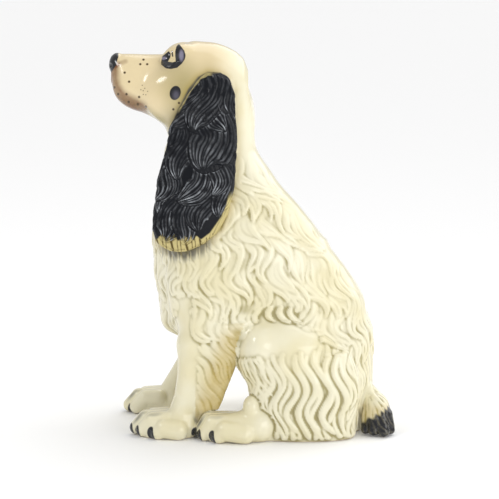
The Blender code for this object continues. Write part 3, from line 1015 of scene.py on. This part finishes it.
def glaze(name, foot=False):
    """Ivory glaze. Attributes say where the painter's colours, the pooled olive glaze, painted shade
    and painted highlights lie.
    """
    n = Nodes(name)
    color = n.mix(n.ramp(n.noise(18.0), 0.35, 0.65), CREAM, CREAM_LIGHT)
    color = n.mix(n.attribute("warm"), color, PEACH)
    color = n.mix(n.math("MULTIPLY", n.attribute("olive"), 0.85), color, OLIVE)
    patchy = n.math("MULTIPLY_ADD", n.ramp(n.noise(70.0), 0.25, 0.75), 0.3, 0.7)
    # grey is painted shade; ochre is partly painted shade beside the ears and brown partly painted
    # shade in the nostril crease
    for key, tint in (("ochre", OCHRE), ("brown", BROWN), ("grey", SHADE_GREY)):
        color = n.mix(n.math("MULTIPLY", n.attribute(key), patchy), color, tint)
    color = n.mix(n.ramp(n.attribute("dots"), 0.45, -0.45), color, DOT_BROWN)
    # painted highlight: the black paint turns lavender grey where reflections are painted on the eye
    # and cheek spot
    black = n.mix(n.math("MULTIPLY", n.attribute("wash"), 0.75), BLACK, LAVENDER_SHEEN)
    color = n.mix(n.ramp(n.attribute("ink"), 0.35, -0.35), color, black)
    roughness = 0.17
    if foot:
        color = n.mix(n.attribute("brush"), color, BLACK)
        color = n.mix(n.attribute("bare"), color, BISCUIT)
        roughness = n.math("MULTIPLY_ADD", n.attribute("bare"), 0.6, roughness)
    bump = n.node("ShaderNodeBump")
    bump.inputs["Strength"].default_value = 0.1
    bump.inputs["Distance"].default_value = 0.0006
    n.link(n.noise(260.0, 2.0), bump.inputs["Height"])
    return n.shade(color, {"Roughness": roughness, "IOR": 1.45, "Coat Weight": 0.3,
                           "Coat Roughness": 0.05, "Normal": bump.outputs["Normal"]})


def black_glaze(name):
    """Black glaze, a blue grey on the ridges of the hair where the glaze breaks thin, which also
    paints their highlights, with a cream hem and a painted highlight on the front rim.
    """
    n = Nodes(name)
    # the ridges' blue grey is partly glaze broken thin and partly painted highlight
    ridge = n.math("MULTIPLY", n.attribute("ridge"), n.ramp(n.noise(120.0), 0.3, 0.7))
    color = n.mix(ridge, BLACK, SHEEN)
    trim = n.mix(n.attribute("hollow"), EAR_HEM, EAR_HEM_SHADE)
    # trim: the cream hem, and the painted highlight on the ear's front rim
    color = n.mix(n.attribute("trim"), color, trim)
    return n.shade(color, {"Roughness": 0.16, "IOR": 1.5, "Specular IOR Level": 0.1,
                           "Coat Weight": 0.1, "Coat Roughness": 0.05})


# ---------- building the pieces

def hand_over(obj, node):
    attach(obj, "root")
    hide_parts(node)


def build_body():
    clay = Clay((-152, -84, -9), (156, 84, NECK_SEAM + 12), BODY_CELL)
    sculpt_body(clay)
    ground = Shape((-200, -100, -30), (200, 100, 0), lambda x, y, z: z + 0 * x + 0 * y)
    clay.carve(ground, 0.8)
    clay.finish()
    points, quads, part = clay.skin()
    below = (points[quads][:, :, 2] < NECK_SEAM).any(1)
    beyond = (points[:, 2] > NECK_SEAM) & (points[:, 2] < NECK_SEAM + 3)
    points = clay.trim(points, beyond)
    normals = clay.normal(points)
    raised = body_hair(clay, points, part, np.random.default_rng(11))
    raised = blurred(quads, raised, 2) * ramp(0.5, 5, points[:, 2])
    raised = raised * ramp(NECK_SEAM - 1, NECK_SEAM - 12, points[:, 2])
    hollow = blurred(quads, raised, 9) - raised
    shaped = points + normals * raised[:, None]
    shaped_normals = vertex_normals(shaped, quads)
    attributes = paint_body(points, part, hollow)
    ivory = glaze("ivory_glaze", foot=True)
    face_part = part[quads[:, 0]]
    for label, node in enumerate(PIECES):
        chosen = (face_part == label) & below
        piece = split_piece(shaped, quads, shaped_normals, attributes, chosen)
        obj = add_mesh(f"{node}_glazed", *piece, ivory)
        hand_over(obj, node)


def build_head():
    clay = Clay((-152, -56, NECK_SEAM - 9), (14, 56, 406), HEAD_CELL)
    clay.add(stack(TRUNK, "Z"), 1.0)
    sculpt_head(clay)
    clay.finish()
    points, quads, _ = clay.skin()
    above = (points[quads][:, :, 2] > NECK_SEAM).any(1)
    beyond = (points[:, 2] < NECK_SEAM) & (points[:, 2] > NECK_SEAM - 3)
    points = clay.trim(points, beyond)
    normals = clay.normal(points)
    steep = (blurred(quads, normals, 12) * normals).sum(1)
    attributes = paint_head(points, 1 - steep)
    piece = split_piece(points, quads, normals, attributes, above)
    obj = add_mesh("head_shell_glazed", *piece, glaze("head_ivory_glaze"))
    hand_over(obj, "head_shell")


def build_ear(side, node, seed):
    low = (-108, side * EAR_Y - 28, 186)
    high = (-6, side * EAR_Y + 28, 378)
    clay = Clay(low, high, EAR_CELL)
    sculpt_ear(clay, side)
    clay.finish()
    points, quads, _ = clay.skin()
    normals = clay.normal(points)
    rng = np.random.default_rng(seed)
    raised = np.zeros(len(points))
    for root_x, root_z, tip_x, tip_z, width, splits in EAR_LOCKS:
        root = np.array([[root_x, side * (EAR_Y + 14.0), root_z]])
        heading = np.array([[tip_x - root_x, 0.0, tip_z - root_z]])
        lock = locks(clay, rng, root, lambda p: heading, np.linalg.norm(heading), width, 4.8, 30,
                     44, splits, lift=0.15, tail=0.3, spare=0.0, steps=36)
        over = emboss(points, *lock)
        raised = np.where(over > 0.4, np.maximum(over, raised * 0.25 + over * 0.75), raised)
    edge = points[np.abs(normals[:, 1]) < 0.8]
    path, wide, high = locks(clay, rng, spread(rng, edge, 4.5), straight_down, 34, 3.6, 1.6, 24,
                             40)
    raised = np.maximum(raised, emboss(points, path, wide, high))
    shaped = points + normals * raised[:, None]
    mean = blurred(quads, raised, 8)
    x, z = shaped[:, 0], shaped[:, 2]
    gap = ear_gap(points)
    fringe = 2.2 * np.sin(x * 0.85 + 1.6 * np.sin(x * 0.31)) + 3 * (raised - mean)
    hem = ramp(209.5, 208, z + fringe)
    parting = ramp(0.6, 0.95, np.sin(x * 1.3 + 1.7 * np.sin(x * 0.43) + z * 0.12))
    back_hem = ramp(-3.6, -2.4, gap) * ramp(256, 244, z) * ramp(-58, -54, x)
    # painted highlight: a thin cream line along the ear's front rim, carried by the trim
    front_rim_highlight = ramp(-1.4, -0.6, gap) * ramp(330, 338, z) * ramp(-38, -44, x)
    # ridge: where the glaze breaks thin, and painted highlight on the ridges
    attributes = {"ridge": np.clip((raised - mean) / 0.75, 0, 1) ** 1.5,
                  "hollow": np.clip((mean - raised) / 0.5 + hem * parting, 0, 1),
                  "trim": np.clip(hem + back_hem + 0.7 * front_rim_highlight, 0, 1)}
    obj = add_mesh(f"{node}_glazed", shaped, quads, None, attributes, black_glaze(f"{node}_black"))
    hand_over(obj, node)


# ---------- studio

CAMERA_TARGET = (-3.1, 0, 185.4)
CAMERA_DISTANCE = 1657.6
CAMERA_LENS = 115.4
SKY_STRENGTH = 0.58
# Name, kind, metres from the figure's middle, size or angle, power.
LAMPS = [("key_softbox", "AREA", (-1.25, -0.75, 1.25), 0.42, 6.5),
         ("side_softbox", "AREA", (1.4, -1.6, 0.35), 1.5, 17.0),
         ("back_sun", "SUN", (0.7, 0.6, 1.0), math.radians(75), 1.65)]


def build_studio():
    bpy.ops.mesh.primitive_plane_add(size=60.0, location=(0, 0, LOW[2]))
    floor = bpy.context.object
    floor.name = "studio_floor"
    paper = Nodes("floor_paper").shade(PAPER, {"Roughness": 0.9, "Specular IOR Level": 0.2})
    floor.data.materials.append(paper)

    world = bpy.data.worlds.new("studio")
    bpy.context.scene.world = world
    world.use_nodes = True
    sky = world.node_tree.nodes["Background"].inputs
    sky["Color"].default_value = (1, 1, 1, 1)
    sky["Strength"].default_value = SKY_STRENGTH

    middle = Vector(to_world((0, 0, 190)))
    for name, kind, offset, size, power in LAMPS:
        light = bpy.data.lights.new(name, kind)
        if kind == "AREA":
            light.shape = "SQUARE"
            light.size = size
        else:
            light.angle = size
        light.energy = power
        lamp = bpy.data.objects.new(name, light)
        lamp.location = middle + Vector(offset)
        lamp.rotation_euler = (middle - lamp.location).to_track_quat("-Z", "Y").to_euler()
        bpy.context.scene.collection.objects.link(lamp)


def build_camera():
    target = Vector(to_world(CAMERA_TARGET))
    data = bpy.data.cameras.new("camera")
    data.sensor_width = 36.0
    data.lens = CAMERA_LENS
    data.clip_end = 30
    camera = bpy.data.objects.new("camera", data)
    sight = Vector((0, -math.cos(VIEW_TILT), math.sin(VIEW_TILT)))
    camera.location = target + sight * (CAMERA_DISTANCE * UNIT)
    camera.rotation_euler = (math.pi / 2 - VIEW_TILT, 0, 0)
    bpy.context.scene.collection.objects.link(camera)
    bpy.context.scene.camera = camera


build_body()
build_head()
build_ear(-1, "left_ear", seed=21)
build_ear(1, "right_ear", seed=22)
build_studio()
build_camera()
bpy.context.scene.view_settings.view_transform = "Standard"
